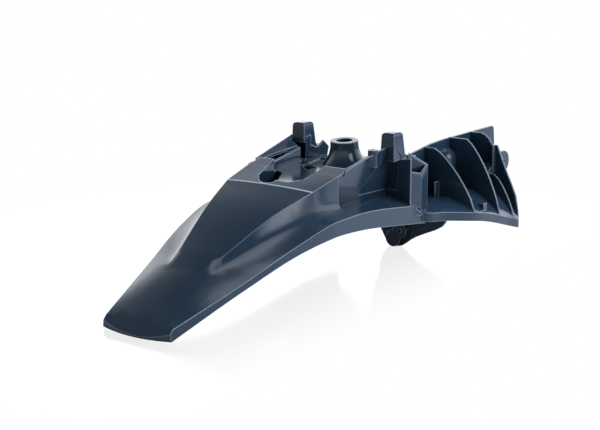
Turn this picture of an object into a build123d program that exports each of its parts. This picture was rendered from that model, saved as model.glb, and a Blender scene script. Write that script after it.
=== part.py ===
"""Rear fender of an off-road motorcycle, moulded in one piece.

X points to the rider's right, Y forward and Z up. The fender lies as it does on
a floor: the lip of the tail and the foot of the hanging ear touch Z = 0.
"""
from build123d import *
import os

# Walls of the moulding
WALL = 2.6
RIB_WALL = 2.4
FIN_WALL = 2.6
DRAFT = 1.2

# Where things stand along the fender, from the end of the tail
TAIL_END_AT = -4.4
TAIL_LIP_AT = 7.0
RAMP_AT = 95.0
FOOT_AT = 101.0
TOE_AT = 111.0
FLANK_AT = 200.0
CREASE_AT = 254.0
HIP_AT = 262.0
POCKET_AT = 304.0
DECK_END_AT = 328.0
RAIL_END_AT = 406.0
BLOCK_AT = 428.0
SEAM_AT = 466.0
BAY_END_AT = 552.0
BAY_TOP_Z = 118.0

# Half widths of the shoulder line
TAIL_HALF = 51.0
FOOT_HALF = 72.8
FLANK_HALF = 93.6
HIP_HALF = 101.0
SEAM_HALF = 100.0

# Heights of the shoulder line
TAIL_SHOULDER_Z = 15.0
FOOT_SHOULDER_Z = 47.4
FLANK_SHOULDER_Z = 83.6
HIP_SHOULDER_Z = 98.0
POCKET_SHOULDER_Z = 98.6
BLOCK_SHOULDER_Z = 86.6
SEAM_SHOULDER_Z = 79.5

# Heights of the lower edge of the skirt
TAIL_EDGE_Z = 2.0
FOOT_EDGE_Z = 39.0
FLANK_EDGE_Z = 71.2
HIP_EDGE_Z = 79.4
POCKET_EDGE_Z = 77.6
BLOCK_EDGE_Z = 62.4
SEAM_EDGE_Z = 57.0

# Crown of the blade and of the flanges above the shoulder line
TAIL_CROWN = 0.6
FOOT_CROWN = 14.0
FLANK_CROWN = 11.0
HIP_CROWN = 6.0
POCKET_CROWN = 2.0
BLOCK_CROWN = 20.0
SEAM_CROWN = 22.0
TAIL_BOW = 7.4

# Raised centre panel, which rises from the toe to the crease
TOE_HALF = 31.0
TOE_Z = 68.6
PANEL_MID_HALF = 53.0
PANEL_MID_Z = 113.0
CREASE_HALF = 66.8
CREASE_Z = 131.5
PANEL_CROWN = 2.0
KNEE_SHARE = 0.34
FLUSH_LIMIT = 1.5
TOE_FLARE = 12.0
FLANK_FLARE = 24.0
CREASE_FLARE = 18.0
POCKET_FLARE = 10.0

# Deck and the rails beside the recess
DECK_HALF = 70.6
DECK_END_Z = 149.0
RAIL_END_Z = 163.0
RAIL_FOOT_HALF = 60.0
RAIL_WALL = 3.0
RAIL_ROOT = 3.0
LEFT_RAIL_REAR_HALF = 72.0
LEFT_RAIL_FRONT_HALF = 86.0
LEFT_RAIL_INNER_REAR = 50.0
LEFT_RAIL_INNER_FRONT = 63.0
LEFT_RAIL_DROP_REAR = 6.0
LEFT_RAIL_DROP_FRONT = 12.0
RELIEF_DEPTH = 1.6
RECESS_Z = 132.0
RECESS_RIM_HALF = 34.0
RECESS_REAR_AT = 268.0
RECESS_CORNER = 14.0
TRENCH_Z = 112.0
TRENCH_FRONT_AT = 330.0
TRENCH_REAR_AT = 257.0
SLOT_LENGTH = 30.0
SLOT_WIDTH = 3.0
GROOVE_DEPTH = 1.4

# Seat boss on the centre line
BOSS_AT = 423.0
BOSS_TOP_Z = 165.5
BOSS_TOP_R = 18.6
BOSS_FOOT_R = 37.0
BOSS_FLARE = 2.6
BOSS_BORE_R = 11.2
BOSS_TILT = 4.0
BOSS_ROOT = 4.0

# Towers
TOWER_INNER_X = 61.0
TOWER_OUTER_X = 83.0
TOWER_REAR_AT = 414.0
TOWER_FRONT_AT = 438.0
TOWER_FOOT_FRONT_AT = 462.0
TOWER_TOP_Z = 182.5
TOWER_FOOT_Z = 146.0
LEFT_TOWER_FOOT_Z = 128.0
TOWER_CORNER = 4.0
WINDOW_TOP_Z = 156.0

# Blocks that carry the towers
BLOCK_INNER_X = 55.0
BLOCK_OUTER_X = 84.0
SCREEN_OUTER_X = 100.0
BLOCK_TOP_Z = 147.0
RAIL_FRONT_Z = 136.0

# Locating pin boss beside the tower
PIN_X = 67.0
PIN_AT = 388.0
PIN_R = 7.0
PIN_HOLE_R = 2.4
PIN_TOP_Z = 164.5

# Hollow post at the front corner of the pocket
POST_LEFT = (97.0, 431.0)
POST_NEAR = (104.0, 449.0)
POST_RIGHT = (99.0, 473.0)
POST_FAR = (81.0, 452.0)
POST_NEAR_Z = 126.0
POST_FAR_Z = 153.0
POST_RIGHT_Z = 136.0
POST_WALL = 2.2

# Ribbed front section on the right
DUCT_WALL_X = 56.0
DUCT_WALL_TOP_Z = 149.0
DUCT_WALL_REAR_Z = 138.0
DUCT_WALL_END_AT = 731.0
DUCT_FLOOR_Z = 81.0
DUCT_OUTER_X = 140.0
DUCT_FLARE_AT = 533.0
DUCT_END_AT = 662.0
DUCT_LIP = 12.0
DUCT_ARCH_POWER = 2.3
DUCT_SEAM_EDGE_Z = 60.0
DUCT_FLARE_EDGE_Z = 52.0
DUCT_END_EDGE_Z = 18.0
FIN_AT = (533.0, 601.0)
FIN_TOP_Z = (145.5, 149.5)
FIN_TOP_X = (72.0, 84.0)
FIN_POWER = 1.3
END_PLATE_AT = 660.0
END_PLATE_X = 95.0
LOW_FIN_AT = 643.0
LOW_FIN_TOP_Z = 95.0

# Hanging ear under the arch
EAR_AT = 532.0
EAR_WALL = 4.0
EAR_BOSS_R = 11.0
EAR_BOSS_LENGTH = 16.0
EAR_HOLE_X = 24.0
EAR_HOLE_Z = 24.0
EAR_HOLE_R = 3.2
EAR_FOOT_X = 13.0
EAR_FOOT_Z = 12.0

# Mounting lobe in front of the end plate
LOBE_X = 100.0
LOBE_AT = 676.0
LOBE_Z = 108.0
LOBE_R = 16.0
LOBE_HOLE_R = 3.2


def track(*points):
    """A smooth curve through (place, value) points, as a function of the place."""
    xs = [p[0] for p in points]
    vs = [p[1] for p in points]
    gaps = [b - a for a, b in zip(xs, xs[1:])]
    rises = [(b - a) / g for a, b, g in zip(vs, vs[1:], gaps)]
    slopes = [rises[0]]
    for left, right in zip(rises, rises[1:]):
        slopes.append(0.0 if left * right <= 0 else 2 * left * right / (left + right))
    slopes.append(rises[-1])

    def at(y):
        k = max(i for i, x in enumerate(xs[:-1]) if i == 0 or x <= y)
        t = (y - xs[k]) / gaps[k]
        start = (1 + 2 * t) * (1 - t) ** 2 * vs[k] + t * (1 - t) ** 2 * gaps[k] * slopes[k]
        end = t * t * (3 - 2 * t) * vs[k + 1] + t * t * (t - 1) * gaps[k] * slopes[k + 1]
        return start + end

    return at


shoulder_half = track(
    (TAIL_LIP_AT, TAIL_HALF), (FOOT_AT, FOOT_HALF), (FLANK_AT, FLANK_HALF), (HIP_AT, HIP_HALF),
    (SEAM_AT, SEAM_HALF)
)
shoulder_z = track(
    (TAIL_LIP_AT, TAIL_SHOULDER_Z), (FOOT_AT, FOOT_SHOULDER_Z), (FLANK_AT, FLANK_SHOULDER_Z),
    (HIP_AT, HIP_SHOULDER_Z), (POCKET_AT, POCKET_SHOULDER_Z), (BLOCK_AT, BLOCK_SHOULDER_Z),
    (SEAM_AT, SEAM_SHOULDER_Z)
)
edge_z = track(
    (TAIL_LIP_AT, TAIL_EDGE_Z), (FOOT_AT, FOOT_EDGE_Z), (FLANK_AT, FLANK_EDGE_Z),
    (HIP_AT, HIP_EDGE_Z), (POCKET_AT, POCKET_EDGE_Z), (BLOCK_AT, BLOCK_EDGE_Z), (SEAM_AT, SEAM_EDGE_Z)
)
crown = track(
    (TAIL_LIP_AT, TAIL_CROWN), (FOOT_AT, FOOT_CROWN), (FLANK_AT, FLANK_CROWN),
    (HIP_AT, HIP_CROWN), (POCKET_AT, POCKET_CROWN), (BLOCK_AT, BLOCK_CROWN), (SEAM_AT, SEAM_CROWN)
)
panel_half = track((TOE_AT, TOE_HALF), (FLANK_AT, PANEL_MID_HALF), (CREASE_AT, CREASE_HALF))
panel_z = track((TOE_AT, TOE_Z), (FLANK_AT, PANEL_MID_Z), (CREASE_AT, CREASE_Z))
flare = track((TOE_AT, TOE_FLARE), (FLANK_AT, FLANK_FLARE), (CREASE_AT, CREASE_FLARE),
              (POCKET_AT, POCKET_FLARE))


def flange_z(x, y):
    """Height of the crowned blade or flange at a point."""
    return shoulder_z(y) + crown(y) * (1 - (x / shoulder_half(y)) ** 2)


def wire_at(y, edges):
    """Closed wire in the plane at y from lists of (x, z) points; three or more points make a curve."""
    made = []
    for points in edges:
        spots = [Vector(x, y, z) for x, z in points]
        if len(spots) == 2:
            made.append(Edge.make_line(*spots))
        else:
            made.append(Edge.make_spline(spots, parameters=steps(0.0, 1.0, len(spots) - 1)))
    return Wire(made)


def steps(start, end, count):
    """Evenly spaced places from start to end."""
    return [start + (end - start) * k / count for k in range(count + 1)]


def plate(outline, axis, place, thickness):
    """Flat plate: an outline in the plane across one axis, thickened forward or to the right."""
    if axis == "y":
        spots = [Vector(a, place, b) for a, b in outline]
        way = Vector(0, thickness, 0)
    elif axis == "x":
        spots = [Vector(place, a, b) for a, b in outline]
        way = Vector(thickness, 0, 0)
    else:
        spots = [Vector(a, b, place) for a, b in outline]
        way = Vector(0, 0, thickness)
    return Solid.extrude(Face(Wire.make_polygon(spots, close=True)), way)


def block(x0, x1, y0, y1, z0, z1):
    """Upright box between two corners."""
    return Solid.make_box(x1 - x0, y1 - y0, z1 - z0).move(Location((x0, y0, z0)))


def upright(radius, x, y, z0, z1, top_radius=None):
    """Round pillar, or a cone when the top has its own radius."""
    plane = Plane((x, y, z0))
    if top_radius is None:
        return Solid.make_cylinder(radius, z1 - z0, plane)
    return Solid.make_cone(radius, top_radius, z1 - z0, plane)


def arch_section(y, inset, drop):
    """Section of the blade: skirt, crowned top, skirt, and a straight line under them."""
    half = shoulder_half(y) - inset
    top = shoulder_z(y) - inset
    low = edge_z(y) - drop
    rise = crown(y)
    crest = [(x, top + rise * (1 - (x / half) ** 2)) for x in steps(half, -half, 6)]
    foot = half + DRAFT
    return wire_at(y, [[(foot, low), (half, top)], crest, [(-half, top), (-foot, low)],
                       [(-foot, low), (foot, low)]])


def skin_wire(y, half, base, rise, low, foot, reach, top_half, top_z, top_crown):
    """Section of the middle or the tail: skirt, flange, fillet, leaning flank and crowned top."""
    def level(x):
        return base + rise * (1 - (x / half) ** 2)

    lean = (top_half - foot, top_z - level(foot))
    knee = (foot + KNEE_SHARE * lean[0], level(foot) + KNEE_SHARE * lean[1])
    slope = -2 * rise * reach / half ** 2
    steep = lean[1] - slope * lean[0]
    if steep > FLUSH_LIMIT:
        share = (level(reach) + slope * (foot - reach) - level(foot)) / steep
        corner = (foot + share * lean[0], level(foot) + share * lean[1])
    else:
        corner = ((reach + knee[0]) / 2, base + rise * (1 - reach * knee[0] / half ** 2))
    flange = [(x, level(x)) for x in steps(half, reach, 3)]
    crest = [(x, top_z + top_crown * (1 - (x / top_half) ** 2)) for x in steps(top_half, -top_half, 4)]

    def side(sign):
        def at(point):
            return Vector(sign * point[0], y, point[1])
        return [Edge.make_line(at((half + DRAFT, low)), at(flange[0])),
                Edge.make_spline([at(point) for point in flange], parameters=steps(0.0, 1.0, 3)),
                Edge.make_bezier(at(flange[-1]), at(corner), at(knee)),
                Edge.make_line(at(knee), at((top_half, top_z)))]

    top = Edge.make_spline([Vector(x, y, z) for x, z in crest], parameters=steps(0.0, 1.0, 4))
    under = Edge.make_line(Vector(-half - DRAFT, y, low), Vector(half + DRAFT, y, low))
    return Wire(side(1) + [top] + side(-1)[::-1] + [under])


def body_section(y, inset, drop):
    """Section with the raised body standing on the flanges."""
    half = shoulder_half(y) - inset
    foot = panel_foot(y) - inset
    wide = panel_half(y) if y < CREASE_AT else deck_half(y)
    high = panel_z(y) if y < CREASE_AT else deck_z(y)
    return skin_wire(y, half, shoulder_z(y) - inset, crown(y), edge_z(y) - drop, foot,
                     min(foot + flare(y), half - 3),
                     wide - inset, high - inset, panel_crown(y))


def blade_section(y, inset, drop):
    """Section of the plain crowned blade, drawn with the same edges as the raised body."""
    half = shoulder_half(y) - inset
    base = shoulder_z(y) - inset
    rise = crown(y)
    foot = TOE_HALF + 8 - inset
    wide = TOE_HALF - inset
    bulge = rise * (wide / half) ** 2
    return skin_wire(y, half, base, rise, edge_z(y) - drop, foot, min(foot + TOE_FLARE, half - 3),
                     wide, base + rise - bulge, bulge)


def tail_section(drop):
    """Section at the very end of the tail, before its face rises."""
    return skin_wire(TAIL_END_AT, TAIL_HALF, TAIL_EDGE_Z, 0.0, -drop, TOE_HALF + 8, TAIL_HALF - 3, TOE_HALF,
                     TAIL_EDGE_Z, 0.0)


def blade(inset=0.0, drop=0.0):
    """Tail blade up to the foot of the panel, and the flanges beside the pockets, as closed bodies."""
    start = TAIL_LIP_AT + inset
    tail = Solid.make_loft([blade_section(y, inset, drop) for y in steps(start, RAMP_AT + inset, 5)])
    front = Solid.make_loft([arch_section(y, inset, drop) for y in steps(POCKET_AT, SEAM_AT + inset, 5)])
    if inset == 0:
        tip = Solid.make_loft([tail_section(drop), blade_section(start, inset, drop)], ruled=True)
        return tail.fuse(tip, front)
    return tail.fuse(front)


panel_foot = track((TOE_AT, TOE_HALF + 9), (FLANK_AT, 66.0), (CREASE_AT, 73.0),
                   (POCKET_AT, DECK_HALF + 0.8))
deck_half = track((CREASE_AT, CREASE_HALF), (POCKET_AT, DECK_HALF))
deck_z = track((CREASE_AT, CREASE_Z), (DECK_END_AT, DECK_END_Z), (RAIL_END_AT, RAIL_END_Z),
               (BLOCK_AT, RAIL_END_Z + 3))
panel_crown = track((TOE_AT, PANEL_CROWN), (CREASE_AT, PANEL_CROWN), (POCKET_AT, 0.0))


def hump(inset=0.0, drop=0.0):
    """Middle of the fender, from the foot of the panel to the pockets, as a closed body."""
    toe = TOE_AT + inset
    ramp = Solid.make_loft([blade_section(RAMP_AT + inset, inset, drop), body_section(toe, inset, drop)],
                           ruled=True)
    panel = Solid.make_loft([body_section(y, inset, drop) for y in steps(toe, CREASE_AT, 5)])
    deck = Solid.make_loft([body_section(y, inset, drop) for y in steps(CREASE_AT, POCKET_AT, 3)])
    if inset == 0:
        return ramp.fuse(panel, deck)
    behind = block(-SEAM_HALF, SEAM_HALF, POCKET_AT - inset, POCKET_AT + 1, POCKET_SHOULDER_Z, TOWER_TOP_Z)
    return ramp.fuse(panel, deck - behind)


def rails(inset=0.0, depth=6.0):
    """Body between the pockets, whose sides lean in towards their feet."""
    def section(y, half, top):
        half -= inset
        top -= inset
        foot = RAIL_FOOT_HALF - inset
        kink = flange_z(RAIL_FOOT_HALF, y) - inset - RAIL_ROOT
        low = kink - depth
        right = [[(foot, low), (foot, kink)], [(foot, kink), (half, top)]]
        left = [[(-half, top), (-foot, kink)], [(-foot, kink), (-foot, low)]]
        return wire_at(y, right + [[(half, top), (-half, top)]] + left + [[(-foot, low), (foot, low)]])
    start = POCKET_AT - 4 - 2 * inset
    high = Solid.make_loft([section(y, DECK_HALF, deck_z(y)) for y in steps(start, BLOCK_AT, 4)],
                           ruled=True)
    low = Solid.make_loft([section(BLOCK_AT, RAIL_FOOT_HALF + 4, BLOCK_TOP_Z + 5),
                           section(SEAM_AT + inset, RAIL_FOOT_HALF + 2, RAIL_FRONT_Z)], ruled=True)
    return high.fuse(low)


def left_rail_line(y):
    """Outer half width, its height, inner half width and its height on the sloping top of the left rail."""
    spread = (y - POCKET_AT) / (TOWER_REAR_AT - POCKET_AT)
    outer = LEFT_RAIL_REAR_HALF + spread * (LEFT_RAIL_FRONT_HALF - LEFT_RAIL_REAR_HALF)
    share = max(0.0, y - DECK_END_AT) / (TOWER_REAR_AT - DECK_END_AT)
    inner = LEFT_RAIL_INNER_REAR + share * (LEFT_RAIL_INNER_FRONT - LEFT_RAIL_INNER_REAR)
    drop = LEFT_RAIL_DROP_REAR + share * (LEFT_RAIL_DROP_FRONT - LEFT_RAIL_DROP_REAR)
    return outer, deck_z(y), inner, deck_z(y) - drop


def left_rail(inset=0.0):
    """Broad left rail, whose top slopes down towards the recess."""
    base = RECESS_Z - 12 * inset / WALL - 8

    def section(y):
        outer, high, inner, low = left_rail_line(y)
        spots = [(-outer + inset, high - 1.4 * inset), (-inner - inset, low - 1.2 * inset),
                 (-inner - inset, base),
                 (-outer + 6 + inset, base)]
        return Wire.make_polygon([Vector(x, y, z) for x, z in spots], close=True)
    return Solid.make_loft([section(y) for y in (POCKET_AT + inset, DECK_END_AT, TOWER_REAR_AT + 6)],
                           ruled=True)


def over_left_rail():
    """Space above the sloping top of the left rail."""
    def section(y):
        outer, high, inner, low = left_rail_line(y)
        spots = [(-outer, high), (-inner, low), (-inner, high + 40), (-outer, high + 40)]
        return Wire.make_polygon([Vector(x, y, z) for x, z in spots], close=True)
    return Solid.make_loft([section(DECK_END_AT), section(TOWER_REAR_AT + 10)], ruled=True)


def recess(grow=0.0):
    """Space sunk into the deck: the dish, the trench on its left and the well around the boss."""
    floor = RECESS_Z - grow
    high = TOWER_TOP_Z + 20
    rim = RECESS_RIM_HALF + grow
    rear = RECESS_REAR_AT - grow
    dish = plate([(-14 - grow, rear), (rim - RECESS_CORNER, rear), (rim, rear + RECESS_CORNER),
                  (rim, DECK_END_AT + 6), (-38 - grow, DECK_END_AT + 6), (-24 - grow, rear + 10)], "z",
                  floor, high - floor)
    lean = (DECK_HALF - RAIL_FOOT_HALF) / (RAIL_END_Z - BLOCK_SHOULDER_Z)
    low_half = RAIL_FOOT_HALF + lean * (floor - BLOCK_SHOULDER_Z) - RAIL_WALL + grow

    def level(z):
        half = low_half + lean * (z - floor)
        spots = [(-LEFT_RAIL_INNER_REAR - grow, DECK_END_AT - grow), (half, DECK_END_AT - grow),
                 (half, SEAM_AT + 10),
                 (-RAIL_FOOT_HALF - grow, SEAM_AT + 10), (-RAIL_FOOT_HALF - grow, TOWER_REAR_AT + 8),
                 (-LEFT_RAIL_INNER_FRONT - grow, TOWER_REAR_AT)]
        return Wire.make_polygon([Vector(x, y, z) for x, y in spots], close=True)

    well = Solid.make_loft([level(floor), level(high)], ruled=True)
    trench_z = TRENCH_Z - grow
    near = TRENCH_REAR_AT - grow
    trench = plate([(-25 - grow, near + 9), (-21 - grow, near + 4), (-13, near), (-5, near),
                    (0 + grow, near + 3),
                    (1 + grow, near + 8), (-36 + grow, TRENCH_FRONT_AT + grow),
                    (-50 - grow, TRENCH_FRONT_AT + 6 + grow),
                    (-34 - grow, near + 20)], "z", trench_z, high - trench_z)
    return dish.fuse(well, trench)


def carrier(side, inset=0.0):
    """Block beside the seam that carries a tower, with a plate that closes the front of the pocket."""
    x0 = BLOCK_INNER_X + inset
    x1 = BLOCK_OUTER_X - inset
    low = BLOCK_EDGE_Z if inset == 0 else BLOCK_EDGE_Z - 20
    body = block(x0, x1, BLOCK_AT + inset, SEAM_AT - inset, low, BLOCK_TOP_Z - inset)
    if inset == 0:
        screen = plate([(BLOCK_OUTER_X - 1, low + 14), (SCREEN_OUTER_X, low + 14),
                        (SCREEN_OUTER_X, BLOCK_TOP_Z + 3),
                        (BLOCK_OUTER_X - 1, BLOCK_TOP_Z)], "y", BLOCK_AT, WALL)
        body = body.fuse(screen)
    return body if side > 0 else body.mirror(Plane.YZ)


def tower(side):
    """Hollow tower with a flared front foot."""
    def ring(z, front, shrink):
        spots = [(TOWER_INNER_X + shrink, TOWER_REAR_AT + shrink),
                 (TOWER_OUTER_X - shrink, TOWER_REAR_AT + shrink),
                 (TOWER_OUTER_X - shrink, front - shrink), (TOWER_INNER_X + shrink, front - shrink)]
        return Wire.make_polygon([Vector(x, y, z) for x, y in spots], close=True)
    foot = TOWER_FOOT_Z if side > 0 else LEFT_TOWER_FOOT_Z
    body = Solid.make_loft([ring(foot, TOWER_FOOT_FRONT_AT, 0),
                            ring(BLOCK_TOP_Z + 6, TOWER_FRONT_AT + 4, 0.5),
                            ring(TOWER_TOP_Z, TOWER_FRONT_AT, 1.5)], ruled=True)
    top_edges = body.edges().filter_by(lambda e: e.center().Z > TOWER_TOP_Z - 2)
    body = body.fillet(TOWER_CORNER, top_edges)
    return body if side > 0 else body.mirror(Plane.YZ)


def tower_hollow(side):
    """Inside of a tower: the left one opens at the back, the right one from below."""
    if side > 0:
        return block(TOWER_INNER_X + WALL, TOWER_OUTER_X - WALL, BLOCK_AT + WALL, TOWER_FRONT_AT - WALL,
                     TOWER_FOOT_Z - 10, TOWER_TOP_Z - 10)
    body = block(TOWER_INNER_X + WALL, TOWER_OUTER_X - WALL, TOWER_REAR_AT + WALL, TOWER_FRONT_AT - WALL,
                 RECESS_Z + 2, TOWER_TOP_Z - 10)
    return body.mirror(Plane.YZ)


BOSS_PLANE = Plane((0, BOSS_AT, RECESS_Z - BOSS_ROOT)).rotated((BOSS_TILT, 0, 0))
BOSS_HEIGHT = BOSS_TOP_Z - RECESS_Z + BOSS_ROOT


def boss():
    """Seat boss, whose side flares out smoothly to its foot."""
    def ring(share):
        radius = BOSS_TOP_R + (BOSS_FOOT_R - BOSS_TOP_R) * (1 - share) ** BOSS_FLARE
        return Wire.make_circle(radius, BOSS_PLANE.offset(BOSS_HEIGHT * share))
    return Solid.make_loft([ring(share) for share in steps(0.0, 1.0, 5)])


def boss_bore():
    """Through bore of the seat boss."""
    return Solid.make_cylinder(BOSS_BORE_R, BOSS_HEIGHT + 20, BOSS_PLANE.offset(-10))


def tower_window():
    """Window in the back of the left tower."""
    return block(-TOWER_OUTER_X + 5, -TOWER_INNER_X + 3, TOWER_REAR_AT - 8, TOWER_REAR_AT + WALL + 2,
                 RECESS_Z + 2, WINDOW_TOP_Z)


def tower_relief():
    """Triangular relief in the outer face of the right tower."""
    return plate([(TOWER_REAR_AT + 5, WINDOW_TOP_Z + 9), (TOWER_REAR_AT + 4, BLOCK_TOP_Z + 1),
                  (TOWER_FRONT_AT - 1, BLOCK_TOP_Z + 1)], "x", TOWER_OUTER_X - 1.8, 6)


def pin():
    """Small locating boss beside the right tower."""
    return upright(PIN_R, PIN_X, PIN_AT, RECESS_Z + 10, PIN_TOP_Z, PIN_R - 0.6)


def post():
    """Hollow four-sided post with a slanted top, at the front corner of the pocket."""
    corners = [POST_LEFT, POST_NEAR, POST_RIGHT, POST_FAR]
    low = Plane((0, 0, SEAM_EDGE_Z + 14))
    tall = POST_FAR_Z + 20 - low.origin.Z

    def prism(spots, height, base):
        wire = Wire.make_polygon([Vector(x, y, base) for x, y in spots], close=True)
        return Solid.extrude(Face(wire), Vector(0, 0, height))

    def slant(x, y):
        across = (POST_NEAR[0] - POST_FAR[0])
        fall = (POST_FAR_Z - POST_NEAR_Z) / across
        ahead = POST_RIGHT[1] - POST_NEAR[1]
        along = (POST_RIGHT_Z - POST_NEAR_Z - fall * (POST_NEAR[0] - POST_RIGHT[0])) / ahead
        return POST_FAR_Z - fall * (x - POST_FAR[0]) + along * (y - POST_FAR[1])

    body = prism(corners, tall, low.origin.Z)
    reach = 30
    frame = [(POST_FAR[0] - reach, POST_FAR[1] - reach), (POST_NEAR[0] + reach, POST_NEAR[1] - reach),
             (POST_NEAR[0] + reach, POST_NEAR[1] + 2 * reach),
             (POST_FAR[0] - reach, POST_NEAR[1] + 2 * reach)]
    under = Wire.make_polygon([Vector(x, y, slant(x, y)) for x, y in frame], close=True)
    over = Wire.make_polygon([Vector(x, y, slant(x, y) + 90) for x, y in frame], close=True)
    return body - Solid.make_loft([under, over], ruled=True)


def post_bore():
    """Hollow of the post, drawn in from its faces by the wall."""
    corners = [POST_LEFT, POST_NEAR, POST_RIGHT, POST_FAR]
    cx = sum(c[0] for c in corners) / 4
    cy = sum(c[1] for c in corners) / 4
    spots = [(c[0] + (cx - c[0]) * POST_WALL / 9, c[1] + (cy - c[1]) * POST_WALL / 13) for c in corners]
    wire = Wire.make_polygon([Vector(x, y, SEAM_EDGE_Z + 30) for x, y in spots], close=True)
    return Solid.extrude(Face(wire), Vector(0, 0, 120))


def mitre_slit():
    """Thin slanted slit in the skirt where the front section starts."""
    return plate([(BLOCK_AT + 13, SEAM_SHOULDER_Z + 3), (BLOCK_AT + 17, SEAM_SHOULDER_Z + 3),
                  (SEAM_AT - 4, SEAM_EDGE_Z + 8)], "x", SEAM_HALF - 8, 20)


def pocket_relief(side):
    """Corner notch at the rear of a pocket and the shallow curved relief in its inner wall."""
    notch = plate([(DECK_HALF + 4, POCKET_AT), (DECK_HALF - 2, DECK_END_AT - 8),
                   (DECK_HALF + 4, DECK_END_AT - 6)],
                  "z", RECESS_Z, 60)
    curve = [(RAIL_END_AT + 1, 161.0), (RAIL_END_AT - 1, 145.0), (RAIL_END_AT - 6, 140.0),
             (RAIL_END_AT - 16, 134.0),
             (RAIL_END_AT - 30, 121.5), (RAIL_END_AT - 41, 119.0), (RAIL_END_AT - 43, 108.0),
             (BLOCK_AT + 1, 106.0),
             (BLOCK_AT + 1, 161.0)]
    skin = plate(curve, "x", RAIL_FOOT_HALF - 4, 24) - rails(RELIEF_DEPTH)
    body = notch.fuse(skin)
    return body if side > 0 else body.mirror(Plane.YZ)


def floor_slots():
    """Opening in the floor of the recess behind the boss, a slot beside it and a groove in front of it."""
    opening = plate([(-46, BOSS_AT - 38), (-43, BOSS_AT - 29), (-37, BOSS_AT - 28), (-22, BOSS_AT - 37),
                     (-19, BOSS_AT - 43), (-19, BOSS_AT - 56), (-23, BOSS_AT - 57)], "z", RECESS_Z - 10, 12)
    slot = block(-8, -8 + SLOT_LENGTH, BOSS_AT - 48, BOSS_AT - 48 + SLOT_WIDTH, RECESS_Z - 10, RECESS_Z + 1)
    groove = plate([(-46, BOSS_AT - 22), (-36, BOSS_AT - 26), (-44, BOSS_AT + 20), (-54, BOSS_AT + 20)],
                   "z",
                   RECESS_Z - GROOVE_DEPTH, 4)
    return opening.fuse(slot, groove)


duct_half = track((SEAM_AT - 6, SEAM_HALF), (SEAM_AT + 34, DUCT_OUTER_X - 20),
                  (DUCT_FLARE_AT, DUCT_OUTER_X - 2),
                  (DUCT_FLARE_AT + 40, DUCT_OUTER_X), (DUCT_END_AT - 20, DUCT_OUTER_X),
                  (DUCT_END_AT, DUCT_OUTER_X - 2))
duct_edge = track((SEAM_AT - 6, DUCT_SEAM_EDGE_Z), (DUCT_FLARE_AT, DUCT_FLARE_EDGE_Z),
                  (DUCT_END_AT, DUCT_END_EDGE_Z))


def duct_z(x, y):
    """Height of the arched floor of the front section."""
    reach = duct_half(y)
    start = DUCT_WALL_X + 14
    share = max(0.0, x - start) / (reach - start)
    return DUCT_FLOOR_Z - (DUCT_FLOOR_Z - duct_edge(y) - DUCT_LIP) * share ** DUCT_ARCH_POWER


def duct_floor():
    """Arched floor of the front section, with the lip along its outer edge."""
    def section(y):
        reach = duct_half(y)
        start = DUCT_WALL_X - WALL
        low = duct_edge(y)
        top = [(x, duct_z(x, y)) for x in steps(start, reach, 7)]
        under = [(x, duct_z(x, y) - WALL) for x in steps(reach - WALL, start, 7)]
        return wire_at(y, [top, [top[-1], (reach, low)], [(reach, low), (reach - WALL, low)],
                           [(reach - WALL, low), under[0]], under, [under[-1], top[0]]])
    return Solid.make_loft([section(y) for y in steps(SEAM_AT - 6, DUCT_END_AT, 8)])


def duct_wall():
    """Upright inner wall of the front section."""
    r = 6
    end = DUCT_WALL_END_AT
    outline = [(BLOCK_AT + 6, DUCT_FLOOR_Z - 2), (BLOCK_AT + 6, DUCT_WALL_REAR_Z),
               (SEAM_AT + 4, DUCT_WALL_REAR_Z),
               (DUCT_FLARE_AT - 10, DUCT_WALL_TOP_Z - 5), (DUCT_FLARE_AT + 20, DUCT_WALL_TOP_Z - 1.5),
               (FIN_AT[1] - 10, DUCT_WALL_TOP_Z), (end - r, DUCT_WALL_TOP_Z),
               (end - r * 0.3, DUCT_WALL_TOP_Z - r * 0.3),
               (end, DUCT_WALL_TOP_Z - r), (end + 3, DUCT_FLOOR_Z + 36), (end - 10, DUCT_FLOOR_Z + 8),
               (DUCT_END_AT, DUCT_FLOOR_Z - 2)]
    return plate(outline, "x", DUCT_WALL_X - WALL, WALL)


def fin(y, top_x, top_z, start_x, thickness=FIN_WALL):
    """Fin across the front section, with a bulging free edge that runs down to the lip."""
    reach = duct_half(y) - 0.4
    end_z = duct_z(reach, y)
    edge = []
    for k in range(1, 9):
        share = k / 9
        across = share ** 0.9
        edge.append((top_x + (reach - top_x) * across,
                     end_z + (top_z - end_z) * (1 - across ** FIN_POWER) ** (1 / FIN_POWER)))
    base = [(x, duct_z(x, y) - 1.2) for x in steps(reach, start_x, 8)]
    return plate([(start_x, top_z), (top_x, top_z)] + edge + [(reach, end_z)] + base, "y", y, thickness)


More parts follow.
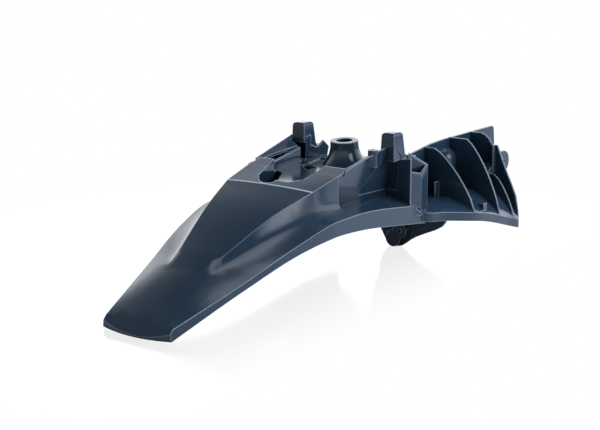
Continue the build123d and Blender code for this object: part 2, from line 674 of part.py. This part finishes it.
def end_plate():
    """Plate at the front end of the ribbed section: a rounded inner half and a lower outer half."""
    y = END_PLATE_AT
    step = END_PLATE_X
    reach = duct_half(y) - 0.4
    top = DUCT_WALL_TOP_Z
    low = duct_z(reach, y)
    outline = [(DUCT_WALL_X - 1, top), (step - 21, top + 0.5), (step - 14, top - 2), (step - 8, top - 7),
               (step - 3, top - 15), (step + 6, top - 15), (step + 14, top - 34), (step + 22, top - 52),
               (step + 31, top - 70), (step + 38, top - 86), (reach - 1, low + 12), (reach, low)]
    outline += [(x, duct_z(x, y) - 1.2) for x in steps(reach, DUCT_WALL_X - 1, 8)[1:]]
    rib = block(step, step + 2.4, y - 5, y + 1, DUCT_FLOOR_Z + 9, top - 15)
    shelf = block(step - 1, step + 1.6, LOW_FIN_AT, y + 1, DUCT_FLOOR_Z - 6, LOW_FIN_TOP_Z)
    ramp_side = [(LOW_FIN_AT - 16, DUCT_FLOOR_Z - 1.5), (y + 1, DUCT_FLOOR_Z - 1.5),
                 (y + 1, DUCT_FLOOR_Z + 26)]
    ramp = plate(ramp_side, "x", step - 17, 17)
    return plate(outline, "y", y, FIN_WALL).fuse(rib, shelf, ramp)


def lobe():
    """Rounded mounting lobe in front of the end plate."""
    plane = Plane((LOBE_X, LOBE_AT, LOBE_Z), x_dir=(0, 1, 0), z_dir=(1, 0, 0))
    disc = Solid.make_cylinder(LOBE_R, 3.2, plane)
    arm = plate([(END_PLATE_AT, LOBE_Z - LOBE_R), (LOBE_AT, LOBE_Z - LOBE_R), (LOBE_AT, LOBE_Z + LOBE_R),
                 (END_PLATE_AT, LOBE_Z + LOBE_R)], "x", LOBE_X, 3.2)
    hole = Solid.make_cylinder(LOBE_HOLE_R, 10, Plane((LOBE_X - 3, LOBE_AT, LOBE_Z), x_dir=(0, 1, 0),
                                                      z_dir=(1, 0, 0)))
    return disc.fuse(arm) - hole


def wall_bulge():
    """Round-topped bulge on the inner wall between the first two fins."""
    x = DUCT_WALL_X - 2
    y = FIN_AT[1] - 10
    column = upright(16, x, y, DUCT_FLOOR_Z - 1, DUCT_FLOOR_Z + 40)
    dome = Solid.make_sphere(16, Plane((x, y, DUCT_FLOOR_Z + 40)))
    keep = block(DUCT_WALL_X - 1, DUCT_WALL_X + 30, y - 20, y + 20, DUCT_FLOOR_Z - 2, DUCT_FLOOR_Z + 60)
    return column.fuse(dome) & keep


def fin_key():
    """Short rib standing on the rear face of the first fin."""
    return block(79, 79 + RIB_WALL, FIN_AT[0] - 11, FIN_AT[0] + 1, DUCT_FLOOR_Z - 2, DUCT_FLOOR_Z + 20)


def snap_block():
    """Small catch near the lip between the first two fins."""
    y = FIN_AT[0] + 30
    x = DUCT_OUTER_X - 12
    return block(x, x + 7, y, y + 9, duct_z(x + 7, y + 9) - 2, duct_z(x, y) + 4)


def front_bay():
    """Plain shell in front of the seam: left skirt, left flank and top, with a bulkhead to the recess."""
    outline = [(-SEAM_HALF - DRAFT, SEAM_EDGE_Z), (-SEAM_HALF, SEAM_SHOULDER_Z),
               (-86, SEAM_SHOULDER_Z + 12),
               (-70, BAY_TOP_Z - 18), (-60, BAY_TOP_Z), (DUCT_WALL_X, BAY_TOP_Z)]
    inner = [(x + WALL if x < 0 else x, z - (0 if k == 0 else WALL)) for k, (x, z) in enumerate(outline)]
    shell = plate(outline + inner[::-1], "y", SEAM_AT - 2, BAY_END_AT - SEAM_AT + 2)
    bulkhead = plate([(-RAIL_FOOT_HALF, SEAM_SHOULDER_Z + 10), (RAIL_FOOT_HALF, SEAM_SHOULDER_Z + 10),
                      (RAIL_FOOT_HALF, RECESS_Z), (-RAIL_FOOT_HALF, RECESS_Z)], "y", SEAM_AT - WALL, WALL)
    return shell.fuse(bulkhead)


def tab():
    """Small slanted tab in front of the left tower."""
    y = TOWER_FRONT_AT + 9
    return plate([(y, RECESS_Z - 2), (y, RECESS_Z + 16), (y + 10, RECESS_Z + 22), (y + 23, RECESS_Z + 12),
                  (y + 19, RECESS_Z - 2)], "x", -62, 2.4)


def ear():
    """Ear that hangs under the arch: an upright plate across the fender with a bored foot."""
    y = EAR_AT - EAR_WALL / 2
    outline = [(-13, 40), (-11, 22), (-8, 17), (-4, 10), (0, 4.6), (4, 1.4), (8, 0), (18, 0), (25, 1.8),
               (31, 6),
               (38, 11.5), (46, 16.5), (62, 24), (78, 31), (88, 37), (94, 44), (96, 56),
               (96, DUCT_FLOOR_Z - 1),
               (DUCT_WALL_X, DUCT_FLOOR_Z), (DUCT_WALL_X, BAY_TOP_Z - 1), (-30, BAY_TOP_Z - 1), (-24, 70)]
    body = plate(outline, "y", y, EAR_WALL)
    foot_plane = Plane((EAR_FOOT_X, EAR_AT - EAR_BOSS_LENGTH / 2, EAR_FOOT_Z), x_dir=(1, 0, 0),
                       z_dir=(0, 1, 0))
    foot = Solid.make_cylinder(EAR_FOOT_Z, EAR_BOSS_LENGTH, foot_plane)
    hole_plane = Plane((EAR_HOLE_X, EAR_AT - 20, EAR_HOLE_Z), x_dir=(1, 0, 0), z_dir=(0, 1, 0))
    ring_plane = Plane((EAR_HOLE_X, EAR_AT - EAR_BOSS_LENGTH / 2, EAR_HOLE_Z), x_dir=(1, 0, 0),
                       z_dir=(0, 1, 0))
    ring = Solid.make_cylinder(EAR_BOSS_R, EAR_BOSS_LENGTH, ring_plane)
    return body.fuse(foot, ring) - Solid.make_cylinder(EAR_HOLE_R, 40, hole_plane)


def tail_bow():
    """What is trimmed off the tail so that its end is bowed."""
    chord = TAIL_HALF + 2
    radius = (chord ** 2 + TAIL_BOW ** 2) / (2 * TAIL_BOW)
    disc = upright(radius, 0, TAIL_END_AT + radius, -5, 40)
    return block(-chord - 20, chord + 20, TAIL_END_AT - 5, TAIL_END_AT + TAIL_BOW + 3, -5, 40) - disc


def fender():
    """The whole moulding as one solid."""
    outer = blade().fuse(hump(), rails(), left_rail(), carrier(1), carrier(-1), post())
    cavity = blade(WALL, 60).fuse(hump(WALL, 60), rails(WALL, 40), left_rail(WALL), carrier(1, WALL),
                                  carrier(-1, WALL))
    shell = outer - recess() - over_left_rail() - (cavity - recess(WALL)) - post_bore() - mitre_slit()
    shell = shell - pocket_relief(1) - pocket_relief(-1) - floor_slots()
    shell = shell.fuse(boss(), tower(1), tower(-1), pin()) - boss_bore()
    shell = shell - tower_hollow(1) - tower_hollow(-1) - tower_window() - tower_relief()
    shell = shell - upright(PIN_HOLE_R, PIN_X, PIN_AT, PIN_TOP_Z - 14, PIN_TOP_Z + 1) - tail_bow()
    duct = duct_floor()
    fins = [fin(y, x, z, DUCT_WALL_X - 1) for y, x, z in zip(FIN_AT, FIN_TOP_X, FIN_TOP_Z)]
    low_fin = fin(LOW_FIN_AT, END_PLATE_X + 11, LOW_FIN_TOP_Z, END_PLATE_X)
    return shell.fuse(duct, duct_wall(), *fins, low_fin, end_plate(), lobe(), wall_bulge(), fin_key(),
                      snap_block(),
                      front_bay(), tab(), ear())


if __name__ == "__main__":
    os.makedirs("parts", exist_ok=True)
    made = fender()
    box = made.bounding_box()
    shift = Vector(-box.center().X, -box.center().Y, -box.min.Z)
    made = made.move(Location(shift))
    print("solids", len(made.solids()), "valid", made.is_valid, "volume", made.volume, "shift", shift)
    export_step(made, "parts/rear_fender.step")
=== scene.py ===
"""Looks of a motorcycle rear fender: a glossy navy moulding, with painted shade that makes the ear under
the arch very dark, on a white floor.
"""

import math

import bmesh
import bpy
from bpy.props import FloatProperty, FloatVectorProperty, PointerProperty
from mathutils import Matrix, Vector


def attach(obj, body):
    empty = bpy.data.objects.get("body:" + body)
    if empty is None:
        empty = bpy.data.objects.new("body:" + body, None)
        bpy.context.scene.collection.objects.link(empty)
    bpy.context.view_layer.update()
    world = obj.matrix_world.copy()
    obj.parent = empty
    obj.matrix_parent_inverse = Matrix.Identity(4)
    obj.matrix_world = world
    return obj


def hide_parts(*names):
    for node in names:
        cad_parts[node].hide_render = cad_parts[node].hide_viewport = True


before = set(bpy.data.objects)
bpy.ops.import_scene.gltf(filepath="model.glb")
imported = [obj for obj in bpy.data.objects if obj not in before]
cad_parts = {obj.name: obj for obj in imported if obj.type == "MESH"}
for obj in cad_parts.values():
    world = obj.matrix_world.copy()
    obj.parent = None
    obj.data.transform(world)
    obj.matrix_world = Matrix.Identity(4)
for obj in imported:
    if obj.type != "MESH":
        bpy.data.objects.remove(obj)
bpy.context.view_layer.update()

bl_info = {
    "name": "Moulded rear fender",
    "version": (1, 0, 0),
    "blender": (4, 2, 0),
    "location": "View3D > Sidebar > Fender",
    "description": "Builds the looks of a moulded rear fender around its packed solid",
    "category": "Object",
}

NODE = "rear_fender"

# Places along the moulding in metres, counted from near the end of the tail
LENGTH_START_Y = -0.3648
CREASE_Y = 0.254 + LENGTH_START_Y
EAR_Y = 0.532 + LENGTH_START_Y

# The crease at the back of the deck gets a painted highlight: half the width of its bright line, the
# height where the line starts and the rise until it is full, its share of the rim highlight colour, and
# how far up the faces that carry it look
CREASE_HIGHLIGHT_HALF_WIDTH = 0.0013
CREASE_LOW_Z = 0.122
CREASE_RISE = 0.004
CREASE_HIGHLIGHT_SHARE = 0.8
FLAT_UPWARD = (0.85, 0.9)

# The box round the ear that hangs under the arch; its faces get painted shade, a very dark copy of the
# navy moulding
EAR_REACH = 0.0085
EAR_TOP_Z = 0.0785
EAR_SIDE_X = 0.08

# Points nearer than this are welded
WELD = 1e-6

# Edges that turn more than this are drawn sharp, and those this near the crease at a smaller turn
SHARP_TURN = math.radians(28)
ON_CREASE = 0.0004
SHARP_CREASE = math.radians(2.5)

# Painted highlights on the rims show where the rounded normal leaves the flat one by these lengths, and
# only on outer edges
TRACE_SAMPLES = 8
RIM_TURN = (0.1, 0.6)
EDGE_REACH = 0.006
OUTER_EDGE = (0.7, 0.92)

# Deep hollows get painted shade in their colour and a weaker gloss, by the share of open air within this
# reach
HOLLOW_REACH = 0.08
HOLLOW_OPEN = (0.1, 0.75)
HOLLOW_DARK = 0.38
HOLLOW_GLOSS = 0.4
OPEN_GLOSS = 0.5
FULL_GLOSS = 0.8

# Moulded grain is about 0.3 mm across; it is drawn at 1.1 mm, since a finer one is lost in the render
GRAIN_MM = 1.1
GRAIN_HEIGHT = 0.0002
GRAIN_STRENGTH = 0.04

# Polypropylene bends light by this, and the edges of the ear in painted shade take this dim painted
# highlight colour
POLYPROPYLENE_IOR = 1.49
EAR_RIM_HIGHLIGHT = "14171b"

# Brightness of the far wall by the sine of the height above the horizon
WALL_LEVELS = ((0.0, 1.9), (0.33, 1.9), (0.44, 1.1), (0.5, 0.8), (0.6, 0.42), (0.7, 0.3), (0.8, 0.16),
               (0.88, 0.1), (0.93, 0.3), (0.97, 2.0))
WALL_PEAK = 2.0
WALL_DIRECTION = (-0.59, 0.81, 0.0)
WALL_EDGE = (-0.35, 0.45)
OTHER_WALLS = 0.45
HORIZON = (-0.05, 0.0)
BELOW_HORIZON = 0.1

# The lamp overhead and the box on the right, bright inside these cosines
LAMP_EDGE = (0.9, 0.97)
OVERHEAD_LEVEL = 0.5
SIDE_DIRECTION = (0.93, -0.03, 0.36)
SIDE_LEVEL = 4.0

# The room is plain white where the camera looks straight at it
CAMERA_WHITE = 1.2

# The floor's mirror image fades across the floor and away from the fender, between these places
MIRROR_SHARE = 0.2
MIRROR_ROUGHNESS = 0.13
MIRROR_ACROSS = (-0.04, 0.21)
MIRROR_AWAY = (0.42, 0.62)

# The soft lamp on the right
LAMP_PLACE = (0.8, 0.45, 0.95)
LAMP_AIM = (0.35, 0.15, 0.0)
LAMP_SIZE = 1.0
LAMP_POWER = 20.0

# The camera looks down by 13 degrees and to the left by 36
CAMERA_PLACE = (1.09283, -1.5762, 0.5186)
CAMERA_TURN = (math.radians(77.0), 0.0, math.radians(36.0))

# Places of the colour sockets on a Mix node
MIX_FIRST = 6
MIX_SECOND = 7
MIX_RESULT = 2


def linear(colour):
    """Linear colour with alpha from an sRGB hex string such as '1b2a3c'."""
    values = [int(colour[k:k + 2], 16) / 255 for k in (0, 2, 4)]
    return tuple(v / 12.92 if v <= 0.04045 else ((v + 0.055) / 1.055) ** 2.4 for v in values) + (1.0,)


def add_node(tree, kind, settings=(), links=()):
    """Adds a node, sets inputs by name or place and attributes by name, and links its inputs."""
    node = tree.nodes.new(kind)
    for name, value in settings:
        if isinstance(name, int) or name in node.inputs:
            node.inputs[name].default_value = value
        else:
            setattr(node, name, value)
    for name, socket in links:
        tree.links.new(node.inputs[name], socket)
    return node


def towards(tree, direction, aim):
    """Cosine between the looking direction and an aim, as a socket."""
    dot = add_node(tree, "ShaderNodeVectorMath", [("operation", "DOT_PRODUCT"), (1, aim)],
                   [(0, direction)])
    return dot.outputs["Value"]


def ramp_between(tree, value, low, high, start, end):
    """Level that runs smoothly from start to end while the value runs from low to high."""
    level = add_node(tree, "ShaderNodeMapRange",
                     [("interpolation_type", "SMOOTHSTEP"), ("From Min", low), ("From Max", high),
                      ("To Min", start), ("To Max", end)], [("Value", value)])
    return level.outputs["Result"]


def maths(tree, operation, first, second):
    """Two sockets joined by one sum, product or maximum."""
    node = add_node(tree, "ShaderNodeMath", [("operation", operation)], [(0, first), (1, second)])
    return node.outputs["Value"]


class FenderLook(bpy.types.PropertyGroup):
    """Sizes and colours of the moulding."""
    colour: FloatVectorProperty(
        name="Colour", description="Colour of the moulded polypropylene", subtype="COLOR", size=4,
        min=0.0, max=1.0, default=linear("1d2d3b"))
    # The rim colour is a painted highlight, mixed into the colour on the rounded edges
    rim_highlight_colour: FloatVectorProperty(
        name="Rim colour", description="Colour that the rounded edges take", subtype="COLOR", size=4,
        min=0.0, max=1.0, default=linear("a4b6c8"))
    # The ear colour is painted shade: the ear is part of the navy moulding, drawn very dark as if in
    # shade
    ear_shade_colour: FloatVectorProperty(
        name="Ear colour", description="Colour of the ear under the arch", subtype="COLOR", size=4,
        min=0.0, max=1.0, default=linear("040506"))
    # Share of the painted rim highlight on an edge
    rim: FloatProperty(
        name="Rim", description="Share of the rim colour on an edge", default=0.55, min=0.0, max=1.0,
        subtype="FACTOR")
    edge_radius: FloatProperty(
        name="Edge radius", description="Radius that catches the light along the edges", default=0.0018,
        unit="LENGTH", subtype="DISTANCE")
    roughness: FloatProperty(
        name="Roughness", description="Roughness of the surface", default=0.12, min=0.0, max=1.0,
        subtype="FACTOR")


class StageLook(bpy.types.PropertyGroup):
    """Size of the studio."""
    floor_size: FloatProperty(
        name="Floor size", description="Length of the floor's edge", default=60.0, unit="LENGTH",
        subtype="DISTANCE")


def painted_crease_highlight(tree, coords, facing):
    """Share of the painted highlight line along the crease, on faces that look up and lie as high as the
    deck.
    """
    place = add_node(tree, "ShaderNodeSeparateXYZ", links=[("Vector", coords)])
    upward = add_node(tree, "ShaderNodeSeparateXYZ", links=[("Vector", facing)])
    near = add_node(tree, "ShaderNodeMath", [("operation", "COMPARE"), (1, CREASE_Y), (2, CREASE_HIGHLIGHT_HALF_WIDTH)],
                    [(0, place.outputs["Y"])])
    on_top = ramp_between(tree, upward.outputs["Z"], *FLAT_UPWARD, 0.0, CREASE_HIGHLIGHT_SHARE)
    on_deck = ramp_between(tree, place.outputs["Z"], CREASE_LOW_Z, CREASE_LOW_Z + CREASE_RISE, 0.0, 1.0)
    return maths(tree, "MULTIPLY", maths(tree, "MULTIPLY", near.outputs["Value"], on_top), on_deck)


def polypropylene(name, colour, rim_highlight_colour, look):
    """Moulded polypropylene: glossy skin, painted highlights on the rims and the crease, painted shade
    in the hollows, a faint grain.
    """
    material = bpy.data.materials.new(name)
    material.use_nodes = True
    tree = material.node_tree
    tree.nodes.clear()
    coords = add_node(tree, "ShaderNodeTexCoord").outputs["Object"]
    facing = add_node(tree, "ShaderNodeNewGeometry").outputs["Normal"]
    rounding = add_node(tree, "ShaderNodeBevel",
                        [("samples", TRACE_SAMPLES), ("Radius", look.edge_radius)])
    turn = add_node(tree, "ShaderNodeVectorMath", [("operation", "DISTANCE")],
                    [(0, rounding.outputs["Normal"]), (1, facing)])
    # Painted highlight: the rim colour goes onto outer rounded edges, where they would catch the light
    rim = ramp_between(tree, turn.outputs["Value"], *RIM_TURN, 0.0, look.rim)
    edge = add_node(tree, "ShaderNodeAmbientOcclusion",
                    [("samples", TRACE_SAMPLES), ("Distance", EDGE_REACH)])
    outer = ramp_between(tree, edge.outputs["AO"], *OUTER_EDGE, 0.0, 1.0)
    edges = maths(tree, "MULTIPLY", rim, outer)
    # Painted highlight along the crease, joined with the painted highlights on the rims
    bright = maths(tree, "MAXIMUM", edges, painted_crease_highlight(tree, coords, facing))
    # Painted shade: the colour darkens, and the gloss weakens, in hollows with little open air
    hollow = add_node(tree, "ShaderNodeAmbientOcclusion",
                      [("samples", TRACE_SAMPLES), ("Distance", HOLLOW_REACH)])
    painted_hollow_shade = ramp_between(tree, hollow.outputs["AO"], *HOLLOW_OPEN, HOLLOW_DARK, 1.0)
    # The painted highlights of the rims and the crease are mixed into the colour here, then the painted
    # shade of the hollows
    paint = add_node(tree, "ShaderNodeMix",
                    [("data_type", "RGBA"), (MIX_FIRST, colour), (MIX_SECOND, rim_highlight_colour)],
                    [(0, bright)])
    shaded = add_node(tree, "ShaderNodeVectorMath", [("operation", "SCALE")],
                      [(0, paint.outputs[MIX_RESULT]), ("Scale", painted_hollow_shade)])
    grain = add_node(tree, "ShaderNodeTexNoise", [("Scale", 1000 / GRAIN_MM), ("Detail", 2.0)],
                     [("Vector", coords)])
    bump = add_node(tree, "ShaderNodeBump", [("Strength", GRAIN_STRENGTH), ("Distance", GRAIN_HEIGHT)],
                    [("Height", grain.outputs["Fac"]), ("Normal", rounding.outputs["Normal"])])
    gloss = ramp_between(tree, painted_hollow_shade, HOLLOW_DARK, FULL_GLOSS, HOLLOW_GLOSS, OPEN_GLOSS)
    skin = add_node(tree, "ShaderNodeBsdfPrincipled",
                    [("Roughness", look.roughness), ("IOR", POLYPROPYLENE_IOR)],
                    [("Base Color", shaded.outputs["Vector"]), ("Normal", bump.outputs["Normal"]),
                     ("Specular IOR Level", gloss)])
    add_node(tree, "ShaderNodeOutputMaterial", links=[("Surface", skin.outputs["BSDF"])])
    return material


def in_ear(place):
    """True where a point of the mesh lies on the ear that hangs under the arch, which gets painted
    shade.
    """
    return abs(place.y - EAR_Y) < EAR_REACH and place.z < EAR_TOP_Z and place.x < EAR_SIDE_X


class OBJECT_OT_fender_moulding(bpy.types.Operator):
    """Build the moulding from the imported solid"""
    bl_idname = "object.fender_moulding"
    bl_label = "Moulding"

    def execute(self, context):
        look = context.scene.fender_look
        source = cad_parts[NODE]
        mesh = source.data.copy()
        mesh.name = "moulding"
        work = bmesh.new()
        work.from_mesh(mesh)
        bmesh.ops.remove_doubles(work, verts=work.verts, dist=WELD)
        bmesh.ops.dissolve_degenerate(work, edges=work.edges, dist=WELD)
        for face in work.faces:
            face.smooth = True
            # Painted shade: the ear's faces take the second material, a very dark copy of the navy
            # moulding
            if in_ear(face.calc_center_median()):
                face.material_index = 1
        for edge in work.edges:
            turn = edge.calc_face_angle(math.pi) if edge.is_manifold else math.pi
            on_crease = all(abs(v.co.y - CREASE_Y) < ON_CREASE for v in edge.verts)
            edge.smooth = turn < (SHARP_CREASE if on_crease else SHARP_TURN)
        work.to_mesh(mesh)
        work.free()
        mesh.materials.clear()
        navy = polypropylene("moulded polypropylene, navy", look.colour, look.rim_highlight_colour, look)
        # A very dark copy of the navy moulding, as painted shade on the ear, with a dim painted
        # highlight on its rims
        painted_shade_navy = polypropylene("moulded polypropylene, black", look.ear_shade_colour, linear(EAR_RIM_HIGHLIGHT), look)
        mesh.materials.append(navy)
        mesh.materials.append(painted_shade_navy)
        piece = bpy.data.objects.new("moulding", mesh)
        context.scene.collection.objects.link(piece)
        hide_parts(NODE)
        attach(piece, "root")
        return {"FINISHED"}


def area_light(name, place, aim, size, power, colour):
    """Soft square lamp at a place, turned towards a point, that leaves no glint of its own."""
    data = bpy.data.lights.new(name, "AREA")
    data.size = size
    data.energy = power
    data.color = colour[:3]
    lamp = bpy.data.objects.new(name, data)
    lamp.location = place
    lamp.rotation_euler = (Vector(aim) - Vector(place)).to_track_quat("-Z", "Y").to_euler()
    lamp.visible_glossy = False
    bpy.context.scene.collection.objects.link(lamp)


def studio():
    """Room with a bright far wall, a lamp overhead and a box on the right; white to the camera."""
    world = bpy.data.worlds.new("studio")
    world.use_nodes = True
    tree = world.node_tree
    tree.nodes.clear()
    path = add_node(tree, "ShaderNodeLightPath")
    looking = add_node(tree, "ShaderNodeTexCoord").outputs["Generated"]
    height = add_node(tree, "ShaderNodeSeparateXYZ", links=[("Vector", looking)]).outputs["Z"]
    wall = add_node(tree, "ShaderNodeValToRGB", links=[("Fac", height)])
    stops = wall.color_ramp.elements
    while len(stops) < len(WALL_LEVELS):
        stops.new(0.5)
    for stop, (place, level) in zip(stops, WALL_LEVELS):
        stop.position = place
        stop.color = (level / WALL_PEAK, level / WALL_PEAK, level / WALL_PEAK, 1.0)
    peak = ramp_between(tree, height, *HORIZON, BELOW_HORIZON, WALL_PEAK)
    fade = ramp_between(tree, towards(tree, looking, WALL_DIRECTION), *WALL_EDGE, OTHER_WALLS, 1.0)
    walls = maths(tree, "MULTIPLY", maths(tree, "MULTIPLY", wall.outputs["Color"], peak), fade)
    overhead = ramp_between(tree, height, *LAMP_EDGE, 0.0, OVERHEAD_LEVEL)
    side = ramp_between(tree, towards(tree, looking, SIDE_DIRECTION), *LAMP_EDGE, 0.0, SIDE_LEVEL)
    level = maths(tree, "ADD", walls, maths(tree, "ADD", overhead, side))
    room = add_node(tree, "ShaderNodeBackground", [("Color", linear("f4f8ff"))], [("Strength", level)])
    backdrop = add_node(tree, "ShaderNodeBackground",
                        [("Color", linear("ffffff")), ("Strength", CAMERA_WHITE)])
    either = add_node(tree, "ShaderNodeMixShader",
                      links=[(0, path.outputs["Is Camera Ray"]), (1, room.outputs[0]),
                             (2, backdrop.outputs[0])])
    add_node(tree, "ShaderNodeOutputWorld", links=[("Surface", either.outputs[0])])
    return world


def acrylic():
    """White acrylic sheet: pure white to the eye with a weak mirror image, matte to all other rays."""
    material = bpy.data.materials.new("white acrylic sheet")
    material.use_nodes = True
    tree = material.node_tree
    tree.nodes.clear()
    path = add_node(tree, "ShaderNodeLightPath")
    glow = add_node(tree, "ShaderNodeEmission", [("Color", linear("ffffff")), ("Strength", 1.0)])
    mirror = add_node(tree, "ShaderNodeBsdfGlossy",
                      [("Color", linear("ffffff")), ("Roughness", MIRROR_ROUGHNESS)])
    place = add_node(tree, "ShaderNodeNewGeometry").outputs["Position"]
    across = add_node(tree, "ShaderNodeSeparateXYZ", links=[("Vector", place)]).outputs["X"]
    away = add_node(tree, "ShaderNodeVectorMath", [("operation", "LENGTH")], [("Vector", place)])
    share = maths(tree, "MULTIPLY", ramp_between(tree, across, *MIRROR_ACROSS, MIRROR_SHARE, 0.0),
                  ramp_between(tree, away.outputs["Value"], *MIRROR_AWAY, 1.0, 0.0))
    seen = add_node(tree, "ShaderNodeMixShader",
                    links=[(0, share), (1, glow.outputs[0]), (2, mirror.outputs[0])])
    matte = add_node(tree, "ShaderNodeBsdfDiffuse", [("Color", linear("cccccc"))])
    either = add_node(tree, "ShaderNodeMixShader",
                      links=[(0, path.outputs["Is Camera Ray"]), (1, matte.outputs[0]),
                             (2, seen.outputs[0])])
    add_node(tree, "ShaderNodeOutputMaterial", links=[("Surface", either.outputs[0])])
    return material


class OBJECT_OT_fender_stage(bpy.types.Operator):
    """Build the floor, the lights and the camera"""
    bl_idname = "object.fender_stage"
    bl_label = "Stage"

    def execute(self, context):
        look = context.scene.fender_stage
        half = look.floor_size / 2
        mesh = bpy.data.meshes.new("floor")
        corners = [(-half, -half, 0), (half, -half, 0), (half, half, 0), (-half, half, 0)]
        mesh.from_pydata(corners, [], [(0, 1, 2, 3)])
        mesh.materials.append(acrylic())
        floor = bpy.data.objects.new("floor", mesh)
        context.scene.collection.objects.link(floor)

        context.scene.world = studio()
        context.scene.view_settings.view_transform = "Standard"
        area_light("right of the fender", LAMP_PLACE, LAMP_AIM, LAMP_SIZE, LAMP_POWER, linear("dcebff"))

        camera_data = bpy.data.cameras.new("camera")
        camera_data.lens = 90.0
        camera_data.sensor_width = 36.0
        camera_data.clip_end = 50.0
        camera = bpy.data.objects.new("camera", camera_data)
        camera.location = CAMERA_PLACE
        camera.rotation_euler = CAMERA_TURN
        context.scene.collection.objects.link(camera)
        context.scene.camera = camera
        return {"FINISHED"}


class VIEW3D_PT_fender(bpy.types.Panel):
    """Panel with the pieces of the fender"""
    bl_label = "Fender"
    bl_idname = "VIEW3D_PT_fender"
    bl_space_type = "VIEW_3D"
    bl_region_type = "UI"
    bl_category = "Fender"

    def draw(self, context):
        look = context.scene.fender_look
        for name in ("colour", "rim_highlight_colour", "ear_shade_colour", "rim", "edge_radius", "roughness"):
            self.layout.prop(look, name)
        self.layout.operator("object.fender_moulding")
        self.layout.prop(context.scene.fender_stage, "floor_size")
        self.layout.operator("object.fender_stage")


CLASSES = (FenderLook, StageLook, OBJECT_OT_fender_moulding, OBJECT_OT_fender_stage, VIEW3D_PT_fender)


def register():
    for item in CLASSES:
        bpy.utils.register_class(item)
    bpy.types.Scene.fender_look = PointerProperty(type=FenderLook)
    bpy.types.Scene.fender_stage = PointerProperty(type=StageLook)


def unregister():
    del bpy.types.Scene.fender_stage
    del bpy.types.Scene.fender_look
    for item in reversed(CLASSES):
        bpy.utils.unregister_class(item)


def main():
    """Builds everything."""
    register()
    bpy.ops.object.fender_moulding()
    bpy.ops.object.fender_stage()


if __name__ == "__main__":
    main()
